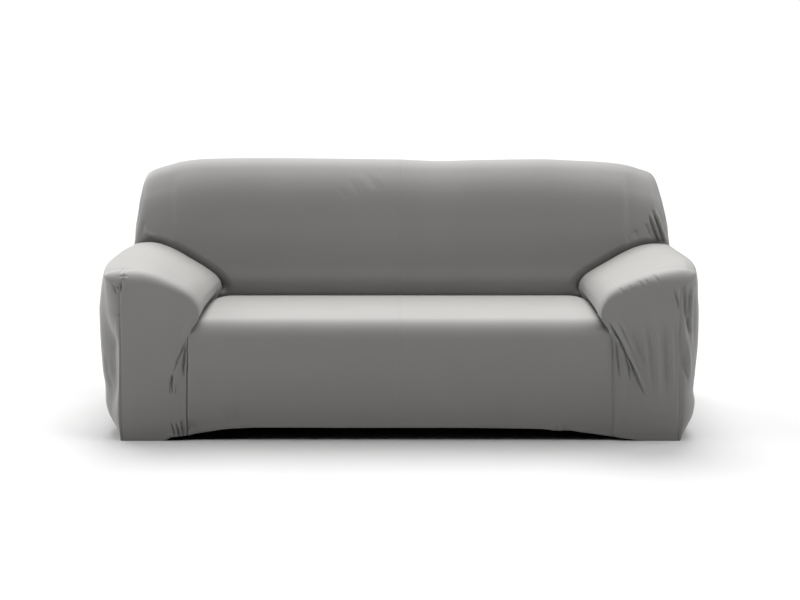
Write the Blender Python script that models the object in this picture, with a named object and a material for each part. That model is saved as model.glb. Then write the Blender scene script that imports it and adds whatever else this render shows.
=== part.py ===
"""A one-piece stretch slipcover for a three-seat sofa with soft rolled arms, in the shape that it takes
when it is pulled over the sofa. The sofa is left out, so the cover is hollow and open below.

X runs across the sofa, Y towards its back and Z up. The skin tables below measure Y from the front
face, and the finished cover is moved forward so that its origin is at the middle of its floor area.
Each table is for one half, which is mirrored for the other, and where the halves differ a table has a
left and a right column.
"""

import math

import bmesh
import bpy
import numpy as np
from mathutils import Vector

# Driving dimensions, in metres. A pair is where something starts and where it is complete.
DEPTH = 0.890
CLOTH = 0.002
SEAM_GAP = 0.0003
FRONT_ROUND = 0.050
FRONT_LEAN_OUT = 0.004
CORNER_ROUND = 0.050

# Seat: rounding and lean of its front, and the width of its tuck beside an arm at the back, further
# forward and on the drop.
SEAT_ROUND = 0.070
FRONT_LEAN = 0.012
REAR_TUCK_WIDTH = 0.105
TUCK_WIDTH = 0.065
DROP_TUCK_WIDTH = 0.026

# Back: its crest, where its ends are set back as wings, and the heights over which its crest table
# lifts it.
CREST_HEIGHT = 0.9115
TOP_START_HEIGHT = 0.835
WING_RECESS = 0.007
WING_STEP = (0.860, 0.884)
RECESS_FOOT = (0.55, 0.65)
RECESS_TOP = (0.82, 0.90)
LIFTED = (0.65, 0.90)

# Groove between an arm and the back: how deep the roll ends, how far the back is tucked in, and the
# shares of the way over the roll where the groove starts and ends.
BACK_GROOVE = 0.020
BACK_GROOVE_WIDTH = 0.035
BACK_TUCK = 0.032
BACK_TUCK_WIDTH = 0.050
GROOVE_START = (0.05, 0.20)
GROOVE_END = (0.85, 1.0)

# Arm's shoulder: its bulge outwards, its fall to the front corner, where across and along it they act.
ARM_REAR_HEIGHT = 0.600
SHOULDER_BULGE = 0.012
SHOULDER_DROP = 0.024
SHOULDER_START = 0.6
INNER_DROP = 0.4
BULGE_FULL = 0.3
BEND_POWER = 9

# Side: where its reach settles, the heights between which its left front corner is pulled flat, how
# soon it leaves the shoulder seam, and the fullness of a wing.
SIDE_SETTLES = (0.11, 0.50)
PULLED_FOOT = (0.05, 0.22)
PULLED_TOP = (0.32, 0.46)
SHOULDER_SWEEP = 4
WING_FULLNESS = 0.7
WING_FOOT = (0.7, 1.0)

# Inside of the back: how much higher its rows run at the middle, and how late they reach their seam.
MIDDLE_RISE = 0.15
TOWARDS_SEAM = 6
WING_X = 0.98

# Steps for slopes and look-ups along a curve.
SLOPE_STEP = 0.01
LEANING_SHARE = 0.8
SEAM_SAMPLES = 160

LEFT, RIGHT = 0, 1
SIDES = {"left": LEFT, "right": RIGHT}
SEAM_TURN = math.radians(45)
SHARP_ANGLE = math.radians(50)

# The seat from its tuck at the back to where the front edge starts to round: y, z.
SEAT_TOP = (
    (0.065, 0.431),
    (0.150, 0.433),
    (0.300, 0.434),
    (0.420, 0.433),
    (0.500, 0.427),
    (0.560, 0.414),
    (0.595, 0.399),
    (0.612, 0.388),
)

# The back from its tuck, up its leaning face and over its top to the seam behind: y, z.
BACK_FACE = (
    (0.612, 0.388),
    (0.607, 0.402),
    (0.602, 0.420),
    (0.606, 0.455),
    (0.626, 0.520),
    (0.655, 0.615),
    (0.684, 0.700),
    (0.704, 0.758),
    (0.722, 0.799),
    (0.745, 0.835),
    (0.772, 0.865),
    (0.802, 0.890),
    (0.832, 0.906),
    (0.850, 0.9115),
    (0.867, 0.900),
    (0.877, 0.875),
    (0.878, 0.845),
)

# The outside of the back, from the floor to that seam: z, y.
BACK_OUTSIDE = (
    (0.000, 0.890),
    (0.300, 0.889),
    (0.600, 0.886),
    (0.780, 0.883),
    (0.845, 0.876),
)

# Crest of the back: x, height on the left, height on the right.
TOP_EDGE = (
    (0.000, 0.909, 0.909),
    (0.155, 0.911, 0.903),
    (0.310, 0.913, 0.907),
    (0.545, 0.915, 0.910),
    (0.700, 0.913, 0.904),
    (0.780, 0.910, 0.900),
    (0.860, 0.900, 0.892),
    (0.900, 0.889, 0.884),
    (0.940, 0.878, 0.872),
    (0.975, 0.867, 0.863),
    (1.040, 0.858, 0.855),
)

# Corner seams up the front and the back of each wing: z, x on the left, x on the right.
WING_SEAM = (
    (0.000, 1.012, 1.012),
    (0.100, 1.022, 1.022),
    (0.250, 1.033, 1.033),
    (0.450, 1.034, 1.034),
    (0.600, 1.022, 1.036),
    (0.640, 1.017, 1.030),
    (0.700, 1.008, 1.020),
    (0.780, 0.999, 1.004),
    (0.840, 0.996, 0.999),
    (0.870, 0.992, 0.992),
    (0.920, 0.984, 0.982),
)

# Outer side of an arm below its roll: z, reach near the front left and right, reach further back,
# front corner.
ARM_SIDE = (
    (0.000, 0.992, 0.992, 1.027, 0.972),
    (0.035, 1.016, 1.017, 1.030, 0.973),
    (0.080, 1.042, 1.040, 1.036, 0.974),
    (0.120, 1.050, 1.045, 1.039, 0.974),
    (0.165, 1.050, 1.038, 1.042, 0.973),
    (0.230, 1.058, 1.043, 1.047, 0.970),
    (0.350, 1.062, 1.050, 1.050, 0.964),
    (0.440, 1.060, 1.048, 1.050, 0.961),
    (0.500, 1.052, 1.042, 1.048, 0.961),
    (0.550, 1.042, 1.038, 1.044, 0.962),
    (0.575, 1.035, 1.033, 1.038, 0.962),
    (0.590, 1.028, 1.028, 1.032, 0.962),
    (0.601, 1.024, 1.024, 1.030, 0.962),
)

# How the side turns the arm's front corner: y, and the share of the way out to the side there on the
# left where it is pulled flat below the roll, on the left elsewhere, and on the right.
CORNER_TURN = (
    (0.000, 0.00, 0.00, 0.00),
    (0.006, 0.05, 0.12, 0.28),
    (0.020, 0.10, 0.28, 0.52),
    (0.060, 0.26, 0.58, 0.83),
    (0.070, 0.40, 0.67, 0.88),
    (0.085, 0.66, 0.79, 0.94),
    (0.105, 0.86, 0.90, 0.97),
    (0.135, 0.97, 0.98, 1.00),
    (0.170, 1.00, 1.00, 1.00),
    (0.240, 1.00, 1.00, 1.00),
)

# One arm from its tuck beside the seat, over its roll, to the seam on its outer shoulder. Columns: x,
# and z on the left and right, where it meets the back; x, and z on the left and right, where its front
# starts to round; x, y and z where its front starts to drop; x at the hem; how early the drop spreads
# out to that x.
ARM = (
    (0.706, 0.388, 0.388, 0.731, 0.390, 0.390, 0.733, 0.010, 0.366, 0.745, 1.0),
    (0.695, 0.412, 0.410, 0.717, 0.415, 0.413, 0.720, 0.006, 0.396, 0.755, 12.0),
    (0.687, 0.430, 0.427, 0.697, 0.436, 0.430, 0.702, 0.004, 0.418, 0.762, 10.0),
    (0.684, 0.446, 0.442, 0.687, 0.455, 0.445, 0.693, 0.002, 0.437, 0.769, 8.0),
    (0.688, 0.464, 0.460, 0.688, 0.479, 0.470, 0.695, 0.001, 0.458, 0.778, 6.0),
    (0.701, 0.483, 0.480, 0.699, 0.506, 0.502, 0.705, 0.000, 0.480, 0.790, 4.5),
    (0.728, 0.504, 0.500, 0.721, 0.530, 0.529, 0.724, 0.000, 0.500, 0.802, 3.5),
    (0.764, 0.5265, 0.520, 0.752, 0.549, 0.548, 0.748, 0.000, 0.515, 0.820, 2.6),
    (0.802, 0.548, 0.541, 0.788, 0.566, 0.563, 0.782, 0.000, 0.529, 0.838, 2.0),
    (0.838, 0.569, 0.561, 0.827, 0.582, 0.578, 0.817, 0.000, 0.541, 0.860, 1.7),
    (0.872, 0.586, 0.578, 0.865, 0.593, 0.589, 0.850, 0.000, 0.549, 0.880, 1.4),
    (0.903, 0.598, 0.591, 0.898, 0.598, 0.596, 0.880, 0.000, 0.553, 0.902, 1.2),
    (0.932, 0.606, 0.599, 0.928, 0.599, 0.601, 0.905, 0.000, 0.554, 0.920, 1.0),
    (0.962, 0.609, 0.603, 0.960, 0.598, 0.604, 0.932, 0.000, 0.555, 0.941, 1.0),
    (0.988, 0.608, 0.603, 0.985, 0.595, 0.603, 0.950, 0.001, 0.552, 0.957, 1.0),
    (1.008, 0.605, 0.601, 1.006, 0.590, 0.597, 0.958, 0.002, 0.547, 0.966, 1.0),
    (1.022, 0.601, 0.598, 1.022, 0.582, 0.588, 0.962, 0.004, 0.540, 0.972, 1.0),
)

# Front hem above the floor: x, height on the left, height on the right.
HEM = (
    (0.000, 0.045, 0.045),
    (0.175, 0.045, 0.045),
    (0.490, 0.046, 0.041),
    (0.550, 0.044, 0.035),
    (0.590, 0.042, 0.036),
    (0.628, 0.038, 0.030),
    (0.673, 0.031, 0.024),
    (0.711, 0.025, 0.018),
    (0.745, 0.019, 0.014),
    (0.780, 0.015, 0.009),
    (0.802, 0.012, 0.007),
    (0.820, 0.001, 0.002),
    (0.835, 0.000, 0.000),
    (1.000, 0.000, 0.000),
)

# Main folds, each a line from start to end. Columns: side, start, end, half width, depth, which is
# positive for a ridge.
FOLDS = (
    ("right", (0.716, 0.000, 0.431), (0.862, 0.000, 0.151), 0.026, -0.008),
    ("right", (0.750, 0.000, 0.430), (0.885, 0.000, 0.170), 0.024, 0.005),
    ("right", (0.734, 0.000, 0.389), (0.759, 0.000, 0.226), 0.020, -0.005),
    ("right", (0.826, 0.000, 0.431), (0.865, 0.000, 0.269), 0.022, 0.003),
    ("right", (0.885, 0.000, 0.431), (0.907, 0.000, 0.140), 0.022, 0.004),
    ("right", (0.967, 0.004, 0.549), (0.992, 0.010, 0.240), 0.022, -0.008),
    ("right", (0.945, 0.000, 0.530), (0.962, 0.002, 0.250), 0.022, 0.003),
    ("right", (0.975, 0.690, 0.700), (1.017, 0.672, 0.637), 0.030, -0.008),
    ("left", (0.738, 0.000, 0.367), (0.798, 0.000, 0.183), 0.022, -0.006),
    ("left", (0.955, 0.000, 0.575), (0.967, 0.004, 0.520), 0.024, -0.006),
)
# A fold is this deep at its ends, and full this soon along it; none reaches down to the hem.
FOLD_END, FOLD_FILLS, FOLD_FLOOR = 0.3, 5, 0.02

# Where the skin is divided into faces. Across a half: seat and back. Along an arm or the seat: 0 to 1
# from the back forwards, 1 to 2 round the front edge. Down: from the top of a drop to its hem.
COLUMNS = (0, 0.22, 0.44, 0.66, 0.85, 0.93, 0.962, 0.983, 1)
FORWARD = (0, 0.028, 0.07, 0.25, 0.50, 0.74, 0.86, 0.91, 0.95, 1, 1.33, 1.67, 2)
DOWN = (0, 0.03, 0.07, 0.14, 0.23, 0.33, 0.44, 0.55, 0.66, 0.77, 0.87, 0.94, 1)
ACROSS_ARM = 16
UP_WING = 6
OVER_TOP = (0, 0.20, 0.40, 0.63, 0.80, 1)

# Each panel's colour, linear.
PANEL_COLOURS = {
    "seat": (0.34, 0.34, 0.34),
    "inside_back": (0.33, 0.33, 0.33),
    "outside_back": (0.31, 0.31, 0.31),
    "arm": (0.35, 0.35, 0.35),
    "side": (0.32, 0.32, 0.32),
}
KNIT_ROUGHNESS = 0.75


def smooth(at, stations, values):
    """A curve through the values that a table gives at its stations, which never overshoots them."""
    stations, values = np.asarray(stations, float), np.asarray(values, float)
    rises = np.diff(values) / np.diff(stations)
    same_way = rises[1:] * rises[:-1] > 0
    sums = np.where(same_way, rises[1:] + rises[:-1], 1)
    slopes = np.concatenate([rises[:1], np.where(same_way, 2 * rises[1:] * rises[:-1] / sums, 0), rises[-1:]])
    first = np.clip(np.searchsorted(stations, at, side="right") - 1, 0, len(stations) - 2)
    step = stations[first + 1] - stations[first]
    t = np.clip((at - stations[first]) / step, 0, 1)
    start = (1 + 2 * t) * (1 - t) ** 2 * values[first] + t * (1 - t) ** 2 * step * slopes[first]
    end = t * t * (3 - 2 * t) * values[first + 1] + t * t * (t - 1) * step * slopes[first + 1]
    return start + end


def look_up(rows, at, column):
    table = np.asarray(rows, float)
    return smooth(at, table[:, 0], table[:, column])


def ramp(at, low, high):
    """0 below low and 1 above high, with a soft start and end."""
    t = np.clip((at - low) / (high - low), 0, 1)
    return t * t * (3 - 2 * t)


def mix(first, second, share):
    return first + (second - first) * share


def lengths_along(rows):
    """The share of its length at which a curve reaches each row."""
    steps = np.linalg.norm(np.diff(np.asarray(rows, float), axis=0), axis=1)
    return np.concatenate([[0], np.cumsum(steps)]) / steps.sum()


BACK_SHARES = lengths_along(BACK_FACE)
ARM_SHARES = lengths_along([row[:2] for row in ARM])


def back_line(share, hand, x):
    """The back's section at x before its corner is rounded: y, z and the outward normal's y and z."""
    y_at, z_at = np.transpose(BACK_FACE)
    y, z = smooth(share, BACK_SHARES, y_at), smooth(share, BACK_SHARES, z_at)
    ahead, behind = np.minimum(share + SLOPE_STEP, 1), np.maximum(share - SLOPE_STEP, 0)
    along_y = smooth(ahead, BACK_SHARES, y_at) - smooth(behind, BACK_SHARES, y_at)
    along_z = smooth(ahead, BACK_SHARES, z_at) - smooth(behind, BACK_SHARES, z_at)
    length = np.hypot(along_y, along_z)
    recess = WING_RECESS * ramp(x, *WING_STEP) * ramp(z, *RECESS_FOOT) * (1 - ramp(z, *RECESS_TOP))
    lift = (look_up(TOP_EDGE, x, 1 + hand) - CREST_HEIGHT) * ramp(z, *LIFTED)
    return y + recess, z + lift, -along_z / length, along_y / length


def corner_drop(x, seam):
    """How far a face has turned away towards its corner seam, which is half way round the corner."""
    reach = np.clip((x - seam) / CORNER_ROUND + math.sin(SEAM_TURN), 0, math.sin(SEAM_TURN))
    return CORNER_ROUND * (1 - np.sqrt(1 - reach**2))


def back_skin(x, share, hand):
    y, z, normal_y, normal_z = back_line(share, hand, x)
    drop = corner_drop(x, look_up(WING_SEAM, z, 1 + hand))
    return np.stack([x + 0 * y, y - normal_y * drop, z - normal_z * drop], axis=-1)


def back_share(height):
    """Where up the leaning face the back reaches a height."""
    shares = np.linspace(0, LEANING_SHARE, 601)
    heights = smooth(shares, BACK_SHARES, np.transpose(BACK_FACE)[1])
    return np.interp(height, heights, shares)


def arm_column(across, column):
    return smooth(across, ARM_SHARES, [row[column] for row in ARM])


def arm_seam_height(across, hand):
    """Height of the seam between arm and back, which lies in a groove except at its two ends."""
    groove = BACK_GROOVE * ramp(across, *GROOVE_START) * (1 - ramp(across, *GROOVE_END))
    return arm_column(across, 1 + hand) - groove, groove


def arm_skin(across, forward, hand):
    """An arm. forward is 0 at the back, 1 where its front starts to round, 2 where it drops, 3 at the hem."""
    seam_z, groove = arm_seam_height(across, hand)
    outer = ramp(across, SHOULDER_START, 1)
    rear_x = arm_column(across, 0)
    rear_x = rear_x + (look_up(WING_SEAM, seam_z, 1 + hand) - ARM[-1][0]) * outer
    rear = back_skin(rear_x, back_share(seam_z), hand)
    rear[..., 1] += groove / BACK_GROOVE * BACK_TUCK
    brim_x, brim_z = arm_column(across, 3), arm_column(across, 4 + hand)
    front_x, front_y, front_z = (arm_column(across, column) for column in (6, 7, 8))
    hem_x = arm_column(across, 9)
    back = np.clip(forward, 0, 1)
    turn = np.clip(forward - 1, 0, 1) * math.pi / 2
    down = np.clip(forward - 2, 0, 1)
    y = mix(rear[..., 1], FRONT_ROUND, back)
    out_of_groove = np.clip((rear[..., 1] - y) / BACK_GROOVE_WIDTH, 0, 1)
    drop = SHOULDER_DROP * mix(INNER_DROP, 1, outer)
    bulge = SHOULDER_BULGE * outer
    x = mix(rear[..., 0], brim_x + bulge, ramp(back, 0, BULGE_FULL)) - bulge * back**BEND_POWER
    z = mix(rear[..., 2] + groove, brim_z + drop, back) - drop * back**BEND_POWER
    z = z - groove * (1 - np.sqrt(1 - (1 - out_of_groove) ** 2))
    x = mix(x, front_x, 1 - np.cos(turn))
    x = mix(x, hem_x, 1 - (1 - down) ** arm_column(across, 10))
    y = y - (FRONT_ROUND - front_y) * np.sin(turn) + down * FRONT_LEAN_OUT
    z = mix(z, front_z, 1 - np.cos(turn))
    z = mix(z, look_up(HEM, hem_x, 1 + hand), down)
    return np.stack([x, y, z], axis=-1)


def seat_skin(share, forward, hand):
    """Half the seat and its front drop. share is 0 at the middle of the sofa and 1 at the arm's tuck."""
    tuck = arm_skin(np.zeros_like(forward), forward, hand)
    x = share * tuck[..., 0]
    turn = np.clip(forward - 1, 0, 1) * math.pi / 2
    down = np.clip(forward - 2, 0, 1)
    y = mix(SEAT_TOP[-1][0], SEAT_ROUND, np.clip(forward, 0, 1))
    z = look_up(SEAT_TOP, y, 1) - SEAT_ROUND * (1 - np.cos(turn))
    y = y - SEAT_ROUND * np.sin(turn) + FRONT_LEAN * down**2
    z = mix(z, look_up(HEM, x, 1 + hand), down)
    width = mix(REAR_TUCK_WIDTH, TUCK_WIDTH, np.clip(2 * forward, 0, 1))
    width = mix(width, DROP_TUCK_WIDTH, np.clip(forward - 1, 0, 1))
    tucked = np.clip(1 - (tuck[..., 0] - x) / width, 0, 1) ** 2
    return np.stack([x, mix(y, tuck[..., 1], tucked), mix(z, tuck[..., 2], tucked)], axis=-1)


def tuck_beside_arm(places, hand):
    """How far back the inside of the back is tucked at each x and z, which is most along the arm's seam."""
    along = np.linspace(0, 1, SEAM_SAMPLES)
    ends = arm_skin(along, 0 * along, hand)[:, [0, 2]]
    steps = np.diff(ends, axis=0)
    away = places[..., None, :] - ends[:-1]
    shares_on = np.clip((away * steps).sum(-1) / (steps**2).sum(-1), 0, 1)
    gaps = np.linalg.norm(away - shares_on[..., None] * steps, axis=-1)
    nearest = gaps.argmin(-1)[..., None]
    gap, share_on = (np.take_along_axis(values, nearest, -1)[..., 0] for values in (gaps, shares_on))
    _, groove = arm_seam_height((nearest[..., 0] + share_on) / (SEAM_SAMPLES - 1), hand)
    near = np.clip(1 - np.maximum(gap - SEAM_GAP, 0) / BACK_TUCK_WIDTH, 0, 1) ** 2
    return groove / BACK_GROOVE * BACK_TUCK * near


def inside_back_skin(share, up, hand):
    """Half the inside of the back. up is 0 at the tuck, 1 at the arm's shoulder, 2 and 3 over the top."""
    across = np.clip(up, 0, 1)
    arm = arm_skin(across, np.zeros_like(across), hand)
    low = back_share(arm_seam_height(across, hand)[0])
    top_start = back_share(TOP_START_HEIGHT)
    seam_share = mix(mix(low, top_start, np.clip(up - 1, 0, 1)), 1, np.clip(up - 2, 0, 1))
    middle_low = sum(arm_seam_height(across, side)[0] for side in (LEFT, RIGHT)) / 2
    middle_share = back_share(middle_low) + MIDDLE_RISE * across**3
    middle_share = mix(mix(middle_share, top_start, np.clip(up - 1, 0, 1)), 1, np.clip(up - 2, 0, 1))
    y, z, _, _ = back_line(seam_share, hand, WING_X)
    seam_x = np.where(up <= 1, arm[..., 0], look_up(WING_SEAM, z, 1 + hand))
    x = share * seam_x
    skin = back_skin(x, mix(middle_share, seam_share, share**TOWARDS_SEAM), hand)
    skin[..., 1] += tuck_beside_arm(skin[..., [0, 2]], hand)
    return skin


def wing_edge(down, hand):
    """The corner seam up the front of a wing: down is 0 at its top and 1 at the arm."""
    return inside_back_skin(np.ones_like(down), 2 - down, hand)


def outside_back_skin(share, down, hand):
    """Half the outside of the back: down is 0 at the top seam, 1 at the arm's height and 2 at the hem."""
    top = inside_back_skin(share, np.full_like(share, 3.0), hand)
    z = mix(mix(top[..., 2], ARM_REAR_HEIGHT, np.clip(down, 0, 1)), 0, np.clip(down - 1, 0, 1))
    high = np.clip(1 - down, 0, 1)
    seam = look_up(WING_SEAM, z, 1 + hand)
    top_seam = look_up(WING_SEAM, top[..., 2], 1 + hand)
    x = share * seam + (top[..., 0] - share * top_seam) * high
    y = look_up(BACK_OUTSIDE, z, 1) - corner_drop(x, seam)
    top_y = look_up(BACK_OUTSIDE, top[..., 2], 1) - corner_drop(top[..., 0], top_seam)
    y = y + (top[..., 1] - top_y) * high**2
    return np.stack([x, y, z], axis=-1)


def arm_side_skin(forward, down, hand):
    """The outer side of an arm, from the seam on its shoulder and front corner down to the hem."""
    top = arm_skin(np.ones_like(forward), forward, hand)

    def reach(y, z):
        side = mix(look_up(ARM_SIDE, z, 1 + hand), look_up(ARM_SIDE, z, 3), ramp(y, *SIDE_SETTLES))
        pulled = (1 - hand) * ramp(z, *PULLED_FOOT) * (1 - ramp(z, *PULLED_TOP))
        out = mix(look_up(CORNER_TURN, y, 2 + hand), look_up(CORNER_TURN, y, 1), pulled)
        return mix(look_up(ARM_SIDE, z, 4), side, out)

    y = top[..., 1] + FRONT_LEAN_OUT * down * (forward >= 2)
    z = top[..., 2] * (1 - down)
    x = reach(y, z) + (top[..., 0] - reach(top[..., 1], top[..., 2])) * (1 - down) ** SHOULDER_SWEEP
    front = arm_skin(np.ones_like(down), 2 + down, hand)
    x = np.where(forward >= 2, front[..., 0], x)
    return np.stack([x, y, z], axis=-1)


def wing_low_skin(back, down, hand):
    """The side of the cover behind the arm, from the arm's height to the hem: back is 1 at the rear seam."""
    z = ARM_REAR_HEIGHT * (1 - down)
    front = arm_side_skin(np.zeros_like(down), down, hand)
    rear = outside_back_skin(np.ones_like(down), 1 + down, hand)
    z = mix(front[..., 2], z, ramp(back, 0, 0.5))
    y = mix(front[..., 1], rear[..., 1], back)
    seam = look_up(WING_SEAM, z, 1 + hand)

    def reach(y):
        turned = np.clip(math.cos(SEAM_TURN) * CORNER_ROUND - (rear[..., 1] - y), 0, None)
        bulge = CORNER_ROUND - np.sqrt(CORNER_ROUND**2 - turned**2)
        return seam + CORNER_ROUND * (1 - math.cos(SEAM_TURN)) - bulge

    x = reach(y) + (front[..., 0] - reach(front[..., 1])) * (1 - back) ** 2
    return np.stack([x, y, mix(z, rear[..., 2], back)], axis=-1)


def wing_high_skin(back, down, hand):
    """The side of a wing above the arm: back is 1 at the rear seam, and down is 0 at the top seam."""
    one, zero = np.ones_like(back), np.zeros_like(back)

    def edge(kind, at):
        if kind == "front":
            return wing_edge(at, hand)
        if kind == "rear":
            return outside_back_skin(one, at, hand)
        if kind == "top":
            return inside_back_skin(one, 2 + at, hand)
        return wing_low_skin(at, zero, hand)

    u, v = back[..., None], down[..., None]
    sides = mix(edge("front", down), edge("rear", down), u) + mix(edge("top", back), edge("low", back), v)
    corners = mix(
        mix(edge("front", zero), edge("front", one), v), mix(edge("rear", zero), edge("rear", one), v), u
    )
    skin = sides - corners
    full = look_up(WING_SEAM, skin[..., 2], 1 + hand) + CORNER_ROUND * (1 - math.cos(SEAM_TURN))
    inner = (4 * back * (1 - back) * np.clip(3 * down, 0, 1)) ** WING_FULLNESS * (1 - ramp(down, *WING_FOOT))
    skin[..., 0] = mix(skin[..., 0], np.maximum(full, skin[..., 0]), inner)
    return skin


def add_block(skin, panel_tag, tag, surface, first, second):
    """Adds a grid, its columns at the stations in first and its rows at those in second."""
    made = bmesh.ops.create_grid(skin, x_segments=len(first) - 1, y_segments=len(second) - 1, size=0.5)
    verts = made["verts"]
    columns = [round((vert.co.x + 0.5) * (len(first) - 1)) for vert in verts]
    rows = [round((vert.co.y + 0.5) * (len(second) - 1)) for vert in verts]
    places = surface(np.asarray(first, float)[columns], np.asarray(second, float)[rows])
    for vert, place in zip(verts, places):
        vert.co = Vector(place)
    for face in {face for vert in verts for face in vert.link_faces}:
        face[panel_tag] = tag


def on_side(surface, hand):
    """The surface of one half, mirrored to its own side of the sofa, with Y from the cover's middle."""
    sign = 1 if hand == RIGHT else -1

    def placed(first, second):
        return surface(first, second, hand) * (sign, 1, 1) - np.array([0, DEPTH / 2, 0])

    return placed


def fold_depth(point, start, end, half_width, depth):
    line = end - start
    along = max(0.0, min(1.0, (point - start).dot(line) / line.length_squared))
    away = (point - start - line * along).length / half_width
    taper = min(1.0, FOLD_FILLS * along + FOLD_END, FOLD_FILLS * (1 - along) + FOLD_END)
    return depth * taper * 0.5 * (1 + math.cos(math.pi * min(away, 1.0)))


def crease(skin):
    """Pushes the skin in or out along each main fold."""
    skin.normal_update()
    moves = {}
    for side, start, end, half_width, depth in FOLDS:
        sign = 1 if SIDES[side] == RIGHT else -1
        ends = [Vector((sign * x, y - DEPTH / 2, z)) for x, y, z in (start, end)]
        for vert in skin.verts:
            push = fold_depth(vert.co, *ends, half_width, depth)
            if push and vert.co.z > FOLD_FLOOR:
                moves[vert] = moves.get(vert, 0) + push
    for vert, push in moves.items():
        vert.co += vert.normal * push
        vert.co.y = max(vert.co.y, -DEPTH / 2)


def make_skin():
    """The whole cover as one open surface, each face tagged with its panel."""
    skin = bmesh.new()
    panel_tag = skin.faces.layers.int.new("panel")
    across = np.linspace(0, 1, ACROSS_ARM + 1)
    wing = np.linspace(0, 1, UP_WING + 1)
    over = np.array(OVER_TOP)
    forward_and_down = (*FORWARD, *(2 + step for step in DOWN[1:]))
    up_back = (*across, *(1 + wing[1:]), *(2 + over[1:]))
    down_back = (*(1 - wing[::-1]), *(1 + step for step in DOWN[1:]))
    panels = []
    for side, hand in SIDES.items():
        blocks = (
            ("seat", seat_skin, COLUMNS, forward_and_down),
            ("inside_back", inside_back_skin, COLUMNS, up_back),
            ("outside_back", outside_back_skin, COLUMNS, down_back),
            ("arm", arm_skin, across, forward_and_down),
            ("side", arm_side_skin, FORWARD, DOWN),
            ("side", wing_low_skin, over, DOWN),
            ("side", wing_high_skin, over, 1 - wing[::-1]),
        )
        for panel, surface, first, second in blocks:
            name = f"{panel}_panel_{side}"
            if name not in panels:
                panels.append(name)
            add_block(skin, panel_tag, panels.index(name), on_side(surface, hand), first, second)
    bmesh.ops.remove_doubles(skin, verts=skin.verts[:], dist=0.0001)
    bmesh.ops.recalc_face_normals(skin, faces=skin.faces[:])
    top = max(skin.faces, key=lambda face: face.calc_center_median().z)
    if top.normal.z < 0:
        bmesh.ops.reverse_faces(skin, faces=skin.faces[:])
    crease(skin)
    skin.normal_update()
    return skin, panels


def pull_in(sheet, seam_tag):
    """Moves the sheet's seam edges into the sheet by half the gap between two panels."""
    moves = {}
    for edge in sheet.edges:
        if not edge[seam_tag] or not edge.is_boundary:
            continue
        face = edge.link_faces[0]
        inward = (edge.verts[1].co - edge.verts[0].co).cross(face.normal).normalized()
        if inward.dot(face.calc_center_median() - edge.verts[0].co) < 0:
            inward.negate()
        for vert in edge.verts:
            moves.setdefault(vert, []).append(inward)
    for vert, inwards in moves.items():
        total = sum(inwards, Vector())
        share = total.length_squared / len(inwards) ** 2
        vert.co += total / len(inwards) / max(share, 0.3) * SEAM_GAP / 2


def make_panel(skin, tag, name, collection):
    """One cut panel of the cover, given its thickness on the inside."""
    sheet = skin.copy()
    panel_tag = sheet.faces.layers.int["panel"]
    normal_tag = sheet.verts.layers.float_vector.new("outward")
    seam_tag = sheet.edges.layers.int.new("seam")
    for vert in sheet.verts:
        outward = vert.normal.copy()
        if vert.is_boundary:
            outward.z = 0
        vert[normal_tag] = outward.normalized()
    for edge in sheet.edges:
        edge[seam_tag] = len({face[panel_tag] for face in edge.link_faces}) > 1
    others = [face for face in sheet.faces if face[panel_tag] != tag]
    bmesh.ops.delete(sheet, geom=others, context="FACES")
    sheet.normal_update()
    pull_in(sheet, seam_tag)
    extruded = bmesh.ops.extrude_face_region(sheet, geom=sheet.faces[:], use_keep_orig=True)
    for vert in extruded["geom"]:
        if isinstance(vert, bmesh.types.BMVert):
            vert.co -= vert[normal_tag] * CLOTH
    bmesh.ops.recalc_face_normals(sheet, faces=sheet.faces[:])
    if sheet.calc_volume(signed=True) < 0:
        bmesh.ops.reverse_faces(sheet, faces=sheet.faces[:])
    # Two panels split the walls of their seam along the same diagonals, so the gap stays even.
    bmesh.ops.triangulate(sheet, faces=sheet.faces[:], quad_method="SHORT_EDGE")
    mesh = bpy.data.meshes.new(name)
    sheet.to_mesh(mesh)
    sheet.free()
    mesh.shade_smooth()
    mesh.set_sharp_from_angle(angle=SHARP_ANGLE)
    panel = bpy.data.objects.new(name, mesh)
    collection.objects.link(panel)
    mesh.materials.append(knit_material(name))
    return panel


def knit_material(name):
    material = bpy.data.materials.new(f"{name}_knit")
    material.use_nodes = True
    shader = material.node_tree.nodes["Principled BSDF"]
    kind = name.rsplit("_panel_", 1)[0]
    shader.inputs["Base Color"].default_value = (*PANEL_COLOURS[kind], 1)
    shader.inputs["Roughness"].default_value = KNIT_ROUGHNESS
    shader.inputs["Metallic"].default_value = 0
    return material


def make_cover():
    for thing in list(bpy.data.objects):
        bpy.data.objects.remove(thing)
    collection = bpy.data.collections.new("sofa_slipcover")
    bpy.context.scene.collection.children.link(collection)
    skin, panels = make_skin()
    for tag, name in enumerate(panels):
        make_panel(skin, tag, name, collection)
    skin.free()


make_cover()
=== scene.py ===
"""A grey stretch slipcover for a three-seat sofa with rolled arms, in its real knit cloth and with its
folds, on a pale studio floor.

The cover is ten cut panels, five on each side of its middle seam. X runs across the sofa, Y towards its
back and Z up. The shape tables measure Y from the cover's front face and are for one half, mirrored for
the other. Where the halves differ, a table has a left and a right column.
"""

import math

import bmesh
import bpy
import numpy as np
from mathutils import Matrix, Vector
from mathutils.kdtree import KDTree


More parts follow.
